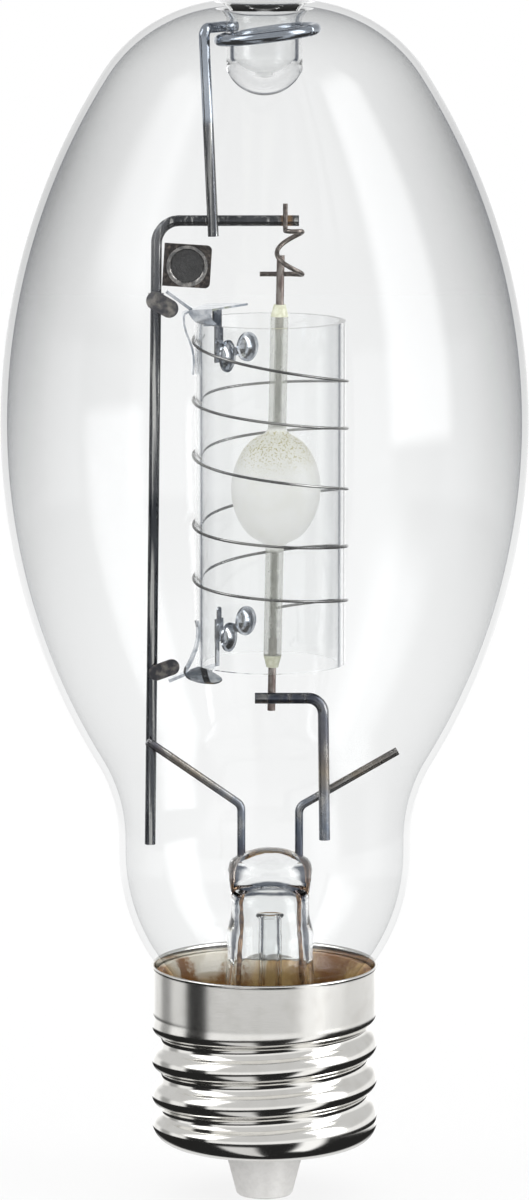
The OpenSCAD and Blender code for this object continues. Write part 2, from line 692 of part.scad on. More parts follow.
// One pad: a round plate of diameter d with a dome pressed towards the arc tube.
// Its middle is at [a, z] on the circle of radius pad_out, and its normal is turned from +X.
dome_h = 0.9;
pad_out = shroud_in - 1.4;
function on_mount(r, a) = [mount_x + r * cos(a), r * sin(a)];
module pad(a, z, turn, d) {
    p = on_mount(pad_out, a);
    n = [cos(turn), -sin(turn), 0];
    r = d / 2 - pad_rim;
    dome_r = (r * r + dome_h * dome_h) / (2 * dome_h);
    placed([p.x, p.y, z], [0, 0, 1], cross(n, [0, 0, 1]), n) difference() {
        union() {
            cylinder(r = d / 2, h = clip_t);
            intersection() {
                translate([0, 0, clip_t + dome_h - dome_r]) sphere(r = dome_r);
                translate([0, 0, clip_t / 2]) cylinder(r = d, h = 4);
            }
        }
        translate([0, 0, clip_t + dome_h - dome_r]) sphere(r = dome_r - clip_t);
    }
}
// A point of a pad's plate, o to the right of its middle
function pad_side(a, turn, o) = on_mount(pad_out, a) + [cos(turn), -sin(turn)] * clip_t / 2
    + o * [sin(turn), cos(turn)];
// A short link of sheet on edge between two points of the plan
link_h = 1.4;
link_lap = 0.12;
module neck(c, d, z) {
    e = unit(d - c) * link_lap;
    pts = [c - e, d + e];
    translate([0, 0, z - link_h / 2]) linear_extrude(link_h) polygon([
        side_point(pts, 0, clip_t / 2), side_point(pts, 1, clip_t / 2),
        side_point(pts, 1, -clip_t / 2), side_point(pts, 0, -clip_t / 2)]);
}
// The inner leg hangs just inside the tube wall at the back left. It is w wide, set over by o.
leg_a = 146;
leg_out = shroud_in - 0.75;
inner_w = 2.4;
tail_t = 0.55;
module on_leg(z) {
    p = on_mount(leg_out, leg_a);
    translate([p.x, p.y, z]) rotate([0, 0, leg_a - 90]) children();
}
module inner_leg(z1, z2, w, o) {
    on_leg(z2) translate([o - w / 2, -clip_t / 2, 0]) cube([w, clip_t, z1 - z2]);
}
// A narrow tab with a round end on top of the lower inner leg
tab_w = 1.2;
tab_h = 1.7;
module lower_tab(z) {
    on_leg(z) rotate([90, 0, 0]) linear_extrude(clip_t - 0.04, center = true) {
        translate([-tab_w / 2, -1]) square([tab_w, 1 + tab_h]);
        translate([0, tab_h]) circle(r = tab_w / 2);
    }
}
out_x = mount_x - shroud_r;
// Swings children about the mount axis, or turns them about a point of the plan
module swung(a) {
    translate([mount_x, 0, 0]) rotate([0, 0, a]) translate([-mount_x, 0, 0]) children();
}
module turned_at(p, a) {
    translate([p.x, p.y, 0]) rotate([0, 0, a]) translate([-p.x, 0, 0]) children();
}
// The upper finger rises a little, and the lower tongue is tilted to the front and the right
upper_leg_a = 5.2;
lower_leg_turn = 16;
lower_leg_w = 1.5;
finger_rise = 2.5;
tongue_tilt = [30, 13];
module upper_clip() {
    z = shroud_top;
    fold_y = leg_w / 2 + 1.2 - clip_t / 2;
    a1 = 138;
    a2 = 113.5;
    color("silver") {
        swung(upper_leg_a) strip([[out_x - 0.4, z + 1.7], [out_x - 1.3, z + 1.75], [out_x - 1.85, z + 1.45],
            [out_x - 2.05, z + 0.9], [out_x - 1.95, z - 0.4], [out_x - 1.6, z - 1.8], [out_x - 1.05, z - 3.2],
            [out_x - 0.55, z - 4.6], [out_x - 0.32, z - 6], [out_x - 0.26, z - 7.4],
            [out_x - 0.42, z - 9.2]], clip_t, leg_w);
        translate([0, -fold_y, 0]) rotate([90, 0, 0]) linear_extrude(clip_t, center = true)
            translate([out_x, z]) polygon([[-1.1, 1.9], [3.1, 2.1], [2.9, 1], [3.2, 0.3], [3.8, -0.3],
                [3.3, -0.6], [1.9, -0.7], [1.55, weld_gap], [0.1, weld_gap], [-0.5, 0.7], [-0.9, 1.3]]);
        translate([out_x, 0, z + 1.8]) rotate([0, -finger_rise, 0]) linear_extrude(clip_t)
            polygon([[-0.8, -2.5], [3.1, -2.5], [5.2, 0.2], [9.1, 4.2], [9.3, 4.7], [8.9, 5.1], [5.6, 6],
                [2.2, 6.6], [0.6, 3]]);
        strip([[out_x - 4.9, z + 5.2], [out_x - 0.3, z + 1.85]], tail_t, 2.2);
        inner_leg(z + 2.15, z - 8, inner_w, 0);
        pad(a1, z - 7, 27, upper_pad_d);
        pad(a2, z - 5.6, 45, lower_pad_d);
        neck(on_mount(leg_out, leg_a), pad_side(a1, 27, -1.6), z - 6.6);
        neck(pad_side(a1, 27, 2.3), pad_side(a2, 45, -2.1), z - 6.3);
    }
}
module lower_clip() {
    z = shroud_z;
    a1 = 136;
    a2 = 115.5;
    x0 = out_x + 0.5;
    color("silver") {
        turned_at([x0, -5.2], lower_leg_turn) strip([[x0 - 0.9, z - 1.7], [x0 - 1.9, z - 1.5],
            [x0 - 2.2, z - 0.95], [x0 - 2.1, z - 0.3], [x0 - 1.65, z + 0.5], [x0 - 1.1, z + 1.5],
            [x0 - 0.7, z + 2.5], [x0 - 0.3, z + 3.5], [x0, z + 4.7], [x0 + 0.12, z + 5.9],
            [x0 + 0.08, z + 7.1], [x0 - 0.16, z + 8.2]], clip_t, lower_leg_w);
        translate([out_x, 0, z - 1.7]) linear_extrude(clip_t) polygon([[-1.4, -6.3], [0.6, -6.3],
            [1.6, -5.4], [3, -3], [3.4, 7.2], [2.2, 6.6], [-0.6, 1]]);
        translate([out_x - 1.05, -6.6, z - 1.1]) rotate([tongue_tilt.x, tongue_tilt.y, 0])
            linear_extrude(clip_t) polygon([[-0.6, -0.4], [-0.3, -1], [0.4, -1.4], [1.8, -1.6],
                [3.1, -1.5], [4.7, -1], [5.5, -0.4], [5.9, 0.3], [5.7, 0.8], [5.1, 1.2], [3.1, 2.2],
                [1.4, 2.4], [0.2, 1.2]]);
        strip([[out_x - 4.6, z - 3.2], [out_x - 0.6, z - 1.5]], tail_t, 2.2);
        inner_leg(z + 6.9, z + 2.8, inner_w, 0);
        inner_leg(z + 3, z - 1.5, 1, -0.6);
        lower_tab(z + 6.7);
        pad(a1, z + 3.4, 30, lower_pad_d);
        pad(a2, z + 6, 42, lower_pad_d);
        neck(on_mount(leg_out, leg_a), pad_side(a1, 30, -1.6), z + 3.8);
        neck(pad_side(a1, 30, 2), pad_side(a2, 42, -1.8), z + 4.9);
    }
}

// Screw shell: rolled thread that runs out under a plain skirt, drawn as one thin wall
thread_r = thread_d / 2;
skirt_r = skirt_d / 2;
corner_c = [thread_r - corner_r, shell_z + corner_r];
roll = pow(thread_depth / 2, 2) + pow(thread_pitch / 4, 2);
knuckle_r = roll / thread_depth;
function knuckle(u) =
    let (d = abs(u - thread_pitch * round(u / thread_pitch)), q = thread_pitch / 4)
    d <= q ? thread_depth + sqrt(knuckle_r * knuckle_r - d * d) - knuckle_r :
    knuckle_r - sqrt(knuckle_r * knuckle_r - pow(2 * q - d, 2));
function shell_r(z, a) =
    let (top = ease(runout_z - 3.2, runout_z, z), low = ease(corner_c.y - 0.9, corner_c.y + 1.5, z))
    thread_r + (skirt_r - thread_r) * top
        - low * (1 - top) * (thread_depth - knuckle(z - crest_z - thread_pitch * (a + 90) / 360));
row_step = thread_pitch / 9;
shell_rows = concat([[shell_hole / 2, shell_z], [corner_c.x, shell_z]],
    [for (a = [18 : 18 : 90]) [corner_c.x + corner_r * sin(a), corner_c.y - corner_r * cos(a)]],
    [for (z = [corner_c.y + row_step : row_step : runout_z]) [0, z]],
    [[0, runout_z + 0.3], [0, rim_z - 0.5], [0.25, rim_z]]);
shell_sides = 40;
// Points of one wall surface, set in by t: rows with a first number are at that radius
function shell_point(row, a, t) =
    let (n = len(shell_rows), base = shell_rows[row],
        flat = row < 2, arc = row >= 2 && row < 7, rim = row == n - 1,
        q = arc ? 18 * (row - 1) : 0,
        r = flat ? base.x : arc ? base.x - t * sin(q) : shell_r(base.y, a) + (rim ? 0.25 : 0) - t,
        z = flat ? base.y + t : arc ? base.y + t * cos(q) : base.y)
    [r * cos(a), r * sin(a), z];
module screw_shell() {
    n = len(shell_rows);
    m = shell_sides;
    pts = concat(
        [for (i = [0 : n - 1]) for (k = [0 : m - 1]) shell_point(i, 360 * k / m, 0)],
        [for (i = [0 : n - 1]) for (k = [0 : m - 1]) shell_point(i, 360 * k / m, shell_t)]);
    color("silver") polyhedron(pts, concat(
        [for (i = [0 : n - 2]) for (k = [0 : m - 1]) let (j = (k + 1) % m)
            [i * m + k, (i + 1) * m + k, (i + 1) * m + j, i * m + j]],
        [for (i = [0 : n - 2]) for (k = [0 : m - 1]) let (j = (k + 1) % m, o = n * m)
            [o + i * m + k, o + i * m + j, o + (i + 1) * m + j, o + (i + 1) * m + k]],
        [for (k = [0 : m - 1]) let (j = (k + 1) % m, o = n * m) [k, j, o + j, o + k]],
        [for (k = [0 : m - 1]) let (j = (k + 1) % m, o = n * m, e = (n - 1) * m)
            [e + k, o + e + k, o + e + j, e + j]]), convexity = 10);
}

// Where the side lead is soldered to the inside of the shell
shell_lead_z = 14.6;
solder_len = 0.6;
solder_seat = 0.12;
shell_lead_x = shell_r(shell_lead_z, 0) - shell_t - solder_seat - solder_len - weld_gap;

// Insulator, centre contact, cement and solder
insul_gap = 0.05;
module base_insulator() {
    r = shell_hole / 2 - insul_gap;
    color("black") rotate_extrude() polygon([[contact_top_d / 2 - contact_t, contact_h + 0.02],
        [contact_top_d / 2 + 0.4, contact_h], [r - 0.4, shell_z - 0.25], [r, shell_z],
        [r, shell_z + shell_t + insul_gap], [r + 2.2, shell_z + shell_t + insul_gap],
        [r + 2.2, shell_z + shell_t + 1.8], [4, shell_z + shell_t + 1.8], [4, contact_h + 1.2],
        [contact_top_d / 2 - contact_t, contact_h + 1.2]]);
}
module centre_contact() {
    r0 = contact_d / 2;
    r1 = contact_top_d / 2;
    color("gainsboro") rotate_extrude() polygon([[eyelet_d / 2, 0], [r0 - 0.3, 0], [r0, 0.3],
        [r1, contact_h - insul_gap], [r1 - contact_t, contact_h - insul_gap],
        [r0 - contact_t, contact_t], [eyelet_d / 2, contact_t]]);
}
module base_cement() {
    outer = thread_r - thread_depth - shell_t - cement_gap;
    low = tail_z + 2;
    top = rim_z - 1.5;
    step_z = runout_z + 0.6;
    color("peru") rotate_extrude() difference() {
        union() {
            translate([0, low]) square([outer, top - low]);
            translate([0, step_z]) square([skirt_r - shell_t - cement_gap, top - step_z]);
        }
        polygon(concat([[0, tail_z]], outline(-cement_gap), [[0, widest_z]]));
    }
}
module contact_solder() {
    color("lightgray") difference() {
        translate([0, 0, 0.05]) cylinder(r = eyelet_d / 2 - weld_gap, h = contact_t - 0.1);
        translate([0, 0, 0.7 - weld_gap]) cylinder(r = seal_d / 2 + weld_gap, h = 2);
    }
}
module shell_solder() {
    color("lightgray") translate([shell_lead_x + weld_gap, 0, shell_lead_z]) rotate([0, 90, 0])
        cylinder(r = 0.55, h = solder_len);
}

outer_bulb();
stem_flare();
exhaust_tube();
shroud_tube();
arc_tube();
upper_frit_seal();
lower_frit_seal();
upper_feedthrough();
lower_feedthrough();
upper_electrode();
lower_electrode();
frame_rod();
dimple_support();
dimple_collar();
top_connector();
lower_lead_rod();
left_lead_post();
right_lead_post();
left_seal_wire();
right_seal_wire();
contact_lead();
shell_lead();
getter_plate();
getter_ring();
getter_disc();
wrap_wire();
upper_clip_strap();
upper_clip();
lower_clip_strap();
lower_clip();
screw_shell();
base_insulator();
centre_contact();
base_cement();
contact_solder();
shell_solder();
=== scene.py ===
# High intensity discharge lamp, from the glass stem up to the bulb and down to the screw base.
# Sizes are written in millimetres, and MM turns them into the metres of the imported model's frame,
# whose origin is the middle of the end contact, on the floor.
import math

import bpy
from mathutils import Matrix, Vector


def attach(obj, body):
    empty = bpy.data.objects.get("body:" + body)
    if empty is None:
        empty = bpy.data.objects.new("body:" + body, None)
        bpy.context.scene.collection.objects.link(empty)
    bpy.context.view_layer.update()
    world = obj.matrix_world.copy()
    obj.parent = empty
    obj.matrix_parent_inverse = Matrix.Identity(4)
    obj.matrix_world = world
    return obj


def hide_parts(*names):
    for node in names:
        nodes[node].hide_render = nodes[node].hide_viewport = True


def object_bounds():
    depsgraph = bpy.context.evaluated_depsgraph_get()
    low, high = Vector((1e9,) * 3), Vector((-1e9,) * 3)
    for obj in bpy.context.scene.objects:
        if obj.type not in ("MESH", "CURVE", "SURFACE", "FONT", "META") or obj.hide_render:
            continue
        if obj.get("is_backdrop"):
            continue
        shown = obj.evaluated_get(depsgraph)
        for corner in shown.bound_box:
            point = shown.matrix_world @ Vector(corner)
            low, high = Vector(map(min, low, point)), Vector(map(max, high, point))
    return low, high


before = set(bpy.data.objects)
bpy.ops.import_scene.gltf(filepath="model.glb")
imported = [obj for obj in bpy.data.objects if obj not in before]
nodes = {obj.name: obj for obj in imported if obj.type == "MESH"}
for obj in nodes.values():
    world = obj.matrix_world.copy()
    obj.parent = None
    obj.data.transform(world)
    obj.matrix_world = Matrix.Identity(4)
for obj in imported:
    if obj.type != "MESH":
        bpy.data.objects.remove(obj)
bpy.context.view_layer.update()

# Glass stem. The pressed flare and the exhaust tube are clear lead glass, drawn and fused by
# a flame, so the wall has a waist under the press and slow waves all over. The flare is one
# outline spun round the stem's axis, and it is sealed to the tail of the bulb.
MM = 0.001


class Tone:
    """A value in a tree of shader nodes: sums on it add Math nodes, and make() adds any other node"""

    def __init__(self, tree, socket=None):
        self.tree = tree
        self.socket = socket

    def make(self, kind, inputs=None, out=0, stops=None, **settings):
        made = self.tree.nodes.new("ShaderNode" + kind)
        for key, value in settings.items():
            setattr(made, key, value)
        if stops:
            ramp = made.color_ramp.elements
            ramp.remove(ramp[1])
            for count, (position, colour) in enumerate(stops):
                stop = ramp.new(position) if count else ramp[0]
                stop.position = position
                stop.color = (*colour, 1)
        for key, value in (inputs or {}).items():
            self.feed(made.inputs[key], value)
        return Tone(self.tree, made.outputs[out])

    def feed(self, socket, value):
        if isinstance(value, Tone):
            self.tree.links.new(value.socket, socket)
        elif socket.type == "RGBA":
            socket.default_value = (*value, 1)
        else:
            socket.default_value = value

    def reckon(self, operation, *values):
        return self.make("Math", dict(enumerate(values)), operation=operation)

    def __add__(self, other):
        return self.reckon("ADD", self, other)

    def __radd__(self, other):
        return self.reckon("ADD", other, self)

    def __sub__(self, other):
        return self.reckon("SUBTRACT", self, other)

    def __rsub__(self, other):
        return self.reckon("SUBTRACT", other, self)

    def __mul__(self, other):
        return self.reckon("MULTIPLY", self, other)

    def __rmul__(self, other):
        return self.reckon("MULTIPLY", other, self)

    def __truediv__(self, other):
        return self.reckon("DIVIDE", self, other)

    def __pow__(self, other):
        return self.reckon("POWER", self, other)

    def __abs__(self):
        return self.reckon("ABSOLUTE", self)

    def between(self, low, high):
        """0 below low, 1 above high, and smooth from one to the other"""
        return self.make("MapRange", {"Value": self, "From Min": low, "From Max": high},
                         interpolation_type="SMOOTHSTEP")

    def blend(self, first, second):
        """A colour from first, where this value is 0, to second, where it is 1"""
        return self.make("Mix", {"Factor": self, 6: first, 7: second}, out=2, data_type="RGBA")

    def axis(self, name):
        """One coordinate of a position"""
        return self.make("SeparateXYZ", {0: self}, out=name)


def finish(name, **constants):
    """A new material, its surface shader and the place of each of its points"""
    material = bpy.data.materials.new(name)
    material.use_nodes = True
    tree = material.node_tree
    shader = tree.nodes["Principled BSDF"]
    root = Tone(tree)
    for key, value in constants.items():
        root.feed(shader.inputs[key.replace("_", " ")], value)
    return material, shader, root.make("TexCoord", out="Object")


def noise(place, scale, detail=3, rough=0.5, stretch=(1, 1, 1)):
    """Soft random values near 0.5, with scale waves in a metre, stretched along the axes"""
    moved = place.make("Mapping", {"Vector": place, "Scale": stretch})
    return place.make("TexNoise", {"Vector": moved, "Scale": scale, "Detail": detail, "Roughness": rough})


def bump(height, strength, distance):
    """A normal that is tilted by a pattern of heights"""
    return height.make("Bump", {"Height": height, "Strength": strength, "Distance": distance})


def dress(material, slot, *names):
    """Gives CAD nodes a finish"""
    for name in names:
        nodes[name].data.materials.clear()
        nodes[name].data.materials.append(material)


def arc(centre, radius, start, end, steps):
    """Points along part of a circle, from one angle to another"""
    turns = [start + (end - start) * step / steps for step in range(steps + 1)]
    return [(centre[0] + radius * math.cos(turn), centre[1] + radius * math.sin(turn)) for turn in turns]


def lathe(name, line, sides, axis_x=0):
    """Extrudes a vertex along a line of radii and heights in mm, and spins it round the axis"""
    bpy.ops.object.select_all(action="DESELECT")
    start = (line[0][0] * MM, 0, line[0][1] * MM)
    bpy.ops.mesh.primitive_circle_add(vertices=3, radius=MM, location=start)
    piece = bpy.context.object
    piece.name = name
    bpy.ops.object.transform_apply()
    bpy.ops.object.mode_set(mode="EDIT")
    bpy.ops.mesh.select_all(action="SELECT")
    bpy.ops.mesh.merge(type="CENTER")
    for here, there in zip(line, line[1:]):
        step = ((there[0] - here[0]) * MM, 0, (there[1] - here[1]) * MM)
        bpy.ops.mesh.extrude_region_move(TRANSFORM_OT_translate={"value": step})
    bpy.ops.mesh.select_all(action="SELECT")
    bpy.ops.mesh.spin(steps=sides, angle=2 * math.pi, center=(0, 0, 0), axis=(0, 0, 1))
    bpy.ops.mesh.select_all(action="SELECT")
    bpy.ops.mesh.remove_doubles(threshold=0.01 * MM)
    bpy.ops.mesh.normals_make_consistent(inside=False)
    bpy.ops.object.mode_set(mode="OBJECT")
    bpy.ops.object.shade_smooth_by_angle(angle=math.radians(50))
    piece.location.x = axis_x * MM
    bpy.ops.object.transform_apply()
    return piece


STEM_R = 7.5
STEM_TOP = 62.5
SHOULDER_Z = 60
FLARE_Z = 46
FLARE_R = 14.1
FLARE_END_Z = 18
STEM_GLASS = 1.3
MOUNT_X = 1
bore_r = STEM_R - STEM_GLASS
flare_arc = ((FLARE_R - STEM_R) ** 2 + (FLARE_Z - FLARE_END_Z) ** 2) / (2 * (FLARE_R - STEM_R))


def flare(inset):
    """The flare from its rim up to the straight tube"""
    heights = [FLARE_END_Z + (FLARE_Z - FLARE_END_Z) * step / 12 for step in range(12)]
    centre_x = STEM_R + flare_arc
    return [(centre_x - math.sqrt(flare_arc ** 2 - (FLARE_Z - height) ** 2) - inset, height)
            for height in heights]


dome_r = (STEM_R ** 2 + (STEM_TOP - SHOULDER_Z) ** 2) / (2 * (STEM_TOP - SHOULDER_Z))
dome = arc((0, STEM_TOP - dome_r), dome_r, math.radians(60), math.radians(90), 6)
waist = [(STEM_R + 0.1, 44), (STEM_R + 0.2, 45.6), (STEM_R + 0.25, 46.8), (STEM_R + 0.1, 48),
         (STEM_R - 0.3, 49.4), (STEM_R - 0.55, 50.6), (STEM_R - 0.6, 53), (STEM_R - 0.45, 55.2),
         (STEM_R - 0.1, 57.2), (STEM_R, 58.7), (STEM_R - 0.25, 59.8), (STEM_R - 0.75, 60.5)]
cavity = [(bore_r, 44.5), (bore_r - 0.1, 47), (bore_r - 0.5, 50), (bore_r - 0.6, 53.4), (5.2, 54.9),
          (4.6, 56), (3.6, 56.9), (2.4, 57.5), (1.2, 57.8), (0, 57.9)]
outer_side = flare(0) + waist + dome
inner_side = cavity[::-1] + flare(STEM_GLASS)[::-1]
stem = lathe("pressed_stem", outer_side + inner_side + outer_side[:1], 96, MOUNT_X)
stem_glass, shader, place = finish("stem_glass", Base_Color=(0.97, 0.98, 0.98), Roughness=0,
                                   Transmission_Weight=1, IOR=1.5)
place.feed(shader.inputs["Normal"], bump(noise(place, 240, 2), 0.3, 0.3 * MM))
stem.data.materials.append(stem_glass)
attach(stem, "root")
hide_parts("stem_flare")
dress(stem_glass, "stem_glass", "exhaust_tube")

# Seal wires and leads. Thin copper-clad wires run down from the press into the base, one to
# the end contact and one to the shell. The flame has left them brown and dull.
seal_wire, shader, place = finish("seal_wire", Metallic=1)
soot = noise(place, 900, 4).between(0.35, 0.7)
place.feed(shader.inputs["Base Color"], soot.blend((0.42, 0.27, 0.17), (0.13, 0.07, 0.05)))
place.feed(shader.inputs["Roughness"], 0.3 + soot * 0.3)
dress(seal_wire, "seal_wire", "left_seal_wire", "right_seal_wire", "contact_lead", "shell_lead")

# Lead posts and lower lead rod. Drawn nickel-plated wire, bent and spot-welded, with the blue
# and brown heat tint that runs along it from the welds and the press.
tinted, shader, place = finish("heat_tinted_wire", Metallic=1)
along = place.axis("Z") + noise(place, 300, 3) * (5 * MM)
tint_low = 60 * MM
tint_length = 30 * MM
tint = along.make("ValToRGB", {"Fac": (along - tint_low) / tint_length}, stops=[
    (0.0, (0.2, 0.13, 0.1)), (0.16, (0.12, 0.13, 0.16)), (0.3, (0.14, 0.17, 0.22)),
    (0.48, (0.22, 0.24, 0.28)), (0.62, (0.34, 0.3, 0.25)), (0.8, (0.14, 0.14, 0.16)),
    (1.0, (0.1, 0.11, 0.14))])
wear = noise(place, 500, 4, stretch=(1, 1, 0.4)).between(0.4, 0.8)
place.feed(shader.inputs["Base Color"], wear.blend(tint, (0.4, 0.39, 0.37)))
place.feed(shader.inputs["Roughness"], 0.3 - wear * 0.1)
place.feed(shader.inputs["Normal"], bump(noise(place, 2600, 3, stretch=(1, 1, 0.15)), 0.3, 0.05 * MM))
dress(tinted, "tinted_wire", "left_lead_post", "right_lead_post", "lower_lead_rod")

# Frame rod, dimple rod and collar. One bent steel rod carries the mount, and a second ties it
# to a collar round the dimple. They are drawn wire, dulled and speckled by the sealing heat up
# to BRIGHT_Z, bright above it, and brown where the connector is welded to the arm. Below
# BRIGHT_Z the colour also has thin light lengthwise streaks, which are painted reflections.
ARM_Z = 173.6
WELD_X = 3.9
BRIGHT_Z = 190
frame_steel, shader, place = finish("frame_steel", Metallic=1)
height = place.axis("Z")
patch = noise(place, 160, 4, stretch=(1, 1, 0.2)).between(0.3, 0.75)
speck = noise(place, 2200, 3).between(0.6, 0.8)
bright = height.between(BRIGHT_Z * MM, (BRIGHT_Z + 2) * MM)
dull = patch.blend((0.025, 0.028, 0.034), (0.11, 0.115, 0.125))
steel = bright.blend(dull, (0.4, 0.44, 0.5))
# Painted reflections: thin light streaks along the rods below BRIGHT_Z, put into the colour to stand for
# the streaks the rods mirror
painted_streaks = noise(place, 1500, 2, stretch=(1, 1, 0.02)).between(0.5, 0.68) * (1 - bright)
specks_and_painted_streaks = (speck * 0.6 + painted_streaks * 0.7).between(0, 1).blend(steel, (0.6, 0.6, 0.58))
on_arm = 1 - abs(height - ARM_Z * MM).between(1 * MM, 2 * MM)
weld = on_arm * (1 - abs(place.axis("X") - WELD_X * MM).between(0.5 * MM, 1.3 * MM))
place.feed(shader.inputs["Base Color"], weld.blend(specks_and_painted_streaks, (0.3, 0.18, 0.09)))
place.feed(shader.inputs["Roughness"], 0.12 + patch * 0.08)
place.feed(shader.inputs["Normal"], bump(noise(place, 3000, 3, stretch=(1, 1, 0.1)), 0.35, 0.05 * MM))
dress(frame_steel, "frame_steel", "frame_rod", "dimple_support", "dimple_collar")

# Getter. A dark oxidised steel plate is welded to the frame rod, and a bright pressed ring on
# it is filled with black powder.
plate_black, shader, place = finish("getter_plate", Metallic=1)
scuff = noise(place, 1500, 5, 0.65).between(0.45, 0.72)
place.feed(shader.inputs["Base Color"], scuff.blend((0.035, 0.03, 0.028), (0.16, 0.13, 0.11)))
place.feed(shader.inputs["Roughness"], 0.42 - scuff * 0.15)
dress(plate_black, "getter_plate", "getter_plate")

ring_bright, shader, place = finish("getter_ring", Metallic=1)
worn = noise(place, 1200).between(0.3, 0.8)
place.feed(shader.inputs["Base Color"], worn.blend((0.12, 0.12, 0.12), (0.42, 0.4, 0.38)))
place.feed(shader.inputs["Roughness"], 0.16 + worn * 0.14)
dress(ring_bright, "getter_ring", "getter_ring")

powder, shader, place = finish("getter_powder", Roughness=0.85)
grain = noise(place, 3500, 5, 0.7)
black = grain.between(0.3, 0.8).blend((0.012, 0.012, 0.012), (0.06, 0.06, 0.06))
place.feed(shader.inputs["Base Color"], black)
place.feed(shader.inputs["Normal"], bump(grain, 0.8, 0.15 * MM))
dress(powder, "getter_fill", "getter_disc")

# Arc tube. A sintered alumina body between two capillaries, white, translucent and frosted,
# with yellow-green condensed salts on its upper end. The capillaries are thin enough to let
# the dark wire inside them show. LIGHT_Z is the middle of its body.
LIGHT_Z = 126.65
alumina, shader, place = finish("arc_ceramic", Roughness=0.4, IOR=1.5)
height = place.axis("Z") - LIGHT_Z * MM
up = height.between(2.5 * MM, 8.5 * MM) * (1 - height.between(9.8 * MM, 10.6 * MM))
salt = noise(place, 3000, 2, 0.5).between(0.53, 0.64) * up
on_capillary = abs(height).between(10.2 * MM, 11.4 * MM)
haze = noise(place, 350, 3).between(0.3, 0.8)
body = (haze * 0.3 + up * 0.7).blend((0.97, 0.97, 0.95), (0.82, 0.815, 0.72))
spotted = salt.blend(body, (0.44, 0.39, 0.1))
dusk = noise(place, 900, 4, 0.65, stretch=(1, 1, 0.5)).between(0.35, 0.7)
capillary = dusk.blend((0.66, 0.67, 0.6), (0.46, 0.47, 0.41))
place.feed(shader.inputs["Base Color"], on_capillary.blend(spotted, capillary))
place.feed(shader.inputs["Alpha"], 1 - on_capillary * 0.66)
dress(alumina, "arc_ceramic", "arc_tube")

# Frit seals. A bead of pale green-grey solder glass is melted round each feed wire, where it
# leaves its capillary.
frit, shader, place = finish("frit_glass", Roughness=0.25)
cloud = noise(place, 1500).between(0.3, 0.7)
place.feed(shader.inputs["Base Color"], cloud.blend((0.74, 0.75, 0.6), (0.58, 0.58, 0.42)))
dress(frit, "frit", "upper_frit_seal", "lower_frit_seal")

# Feed wires and electrodes. Niobium wires leave the capillaries, dull and brown-grey, and
# inside the arc tube they carry dark tungsten electrodes.
niobium, shader, place = finish("niobium", Metallic=1)
rust = noise(place, 1100, 4, stretch=(1, 1, 0.4)).between(0.35, 0.7)
place.feed(shader.inputs["Base Color"], rust.blend((0.17, 0.13, 0.12), (0.4, 0.36, 0.33)))
place.feed(shader.inputs["Roughness"], 0.3 + rust * 0.15)
dress(niobium, "niobium", "upper_feedthrough", "lower_feedthrough")

tungsten, shader, place = finish("tungsten", Metallic=1, Roughness=0.5)
fired = noise(place, 2000).between(0.3, 0.7)
place.feed(shader.inputs["Base Color"], fired.blend((0.06, 0.06, 0.06), (0.16, 0.16, 0.16)))
dress(tungsten, "tungsten", "upper_electrode", "lower_electrode")

# Top connector. A thin bent nickel wire, spot-welded to the arm of the frame rod. It goes one
# and two thirds of a turn round a wide loop as it sinks, and ends welded behind the feed wire.
connector, shader, place = finish("connector_wire", Metallic=1)
burn = noise(place, 1300, 4).between(0.35, 0.7)
place.feed(shader.inputs["Base Color"], burn.blend((0.12, 0.1, 0.09), (0.36, 0.32, 0.29)))
place.feed(shader.inputs["Roughness"], 0.32 + burn * 0.15)
ROD_R = 0.95
LINK_R = 0.425
GAP = 0.03
FEED_R = 0.7
FEED_X = 2.766
PIN_TOP = 176.7
PIN_SHIFT = 0.85
LOOP_R = 2.2
LOOP_Z = 171.95
LOOP_SHIFT = 0.75
LOOP_BULGE = 0.2
LINK_END = 5.2
LINK_END_Z = 164.15


def ease(low, high, value):
    """0 below low, 1 above high, and smooth from one to the other"""
    share = max(0, min(1, (value - low) / (high - low)))
    return share * share * (3 - 2 * share)


def round_wire(name, line, radius):
    """Extrudes a vertex along a line of points in mm, and gives the line a round section"""
    bpy.ops.object.select_all(action="DESELECT")
    bpy.ops.mesh.primitive_circle_add(vertices=3, radius=MM, location=[value * MM for value in line[0]])
    wire = bpy.context.object
    wire.name = name
    bpy.ops.object.transform_apply()
    bpy.ops.object.mode_set(mode="EDIT")
    bpy.ops.mesh.select_all(action="SELECT")
    bpy.ops.mesh.merge(type="CENTER")
    for here, there in zip(line, line[1:]):
        step = [(end - start) * MM for start, end in zip(here, there)]
        bpy.ops.mesh.extrude_region_move(TRANSFORM_OT_translate={"value": step})
    bpy.ops.object.mode_set(mode="OBJECT")
    bpy.ops.object.convert(target="CURVE")
    wire = bpy.context.object
    wire.data.bevel_depth = radius * MM
    wire.data.bevel_resolution = 3
    wire.data.use_fill_caps = True
    bpy.ops.object.convert(target="MESH")
    wire = bpy.context.object
    bpy.ops.object.shade_smooth_by_angle(angle=math.radians(50))
    return wire


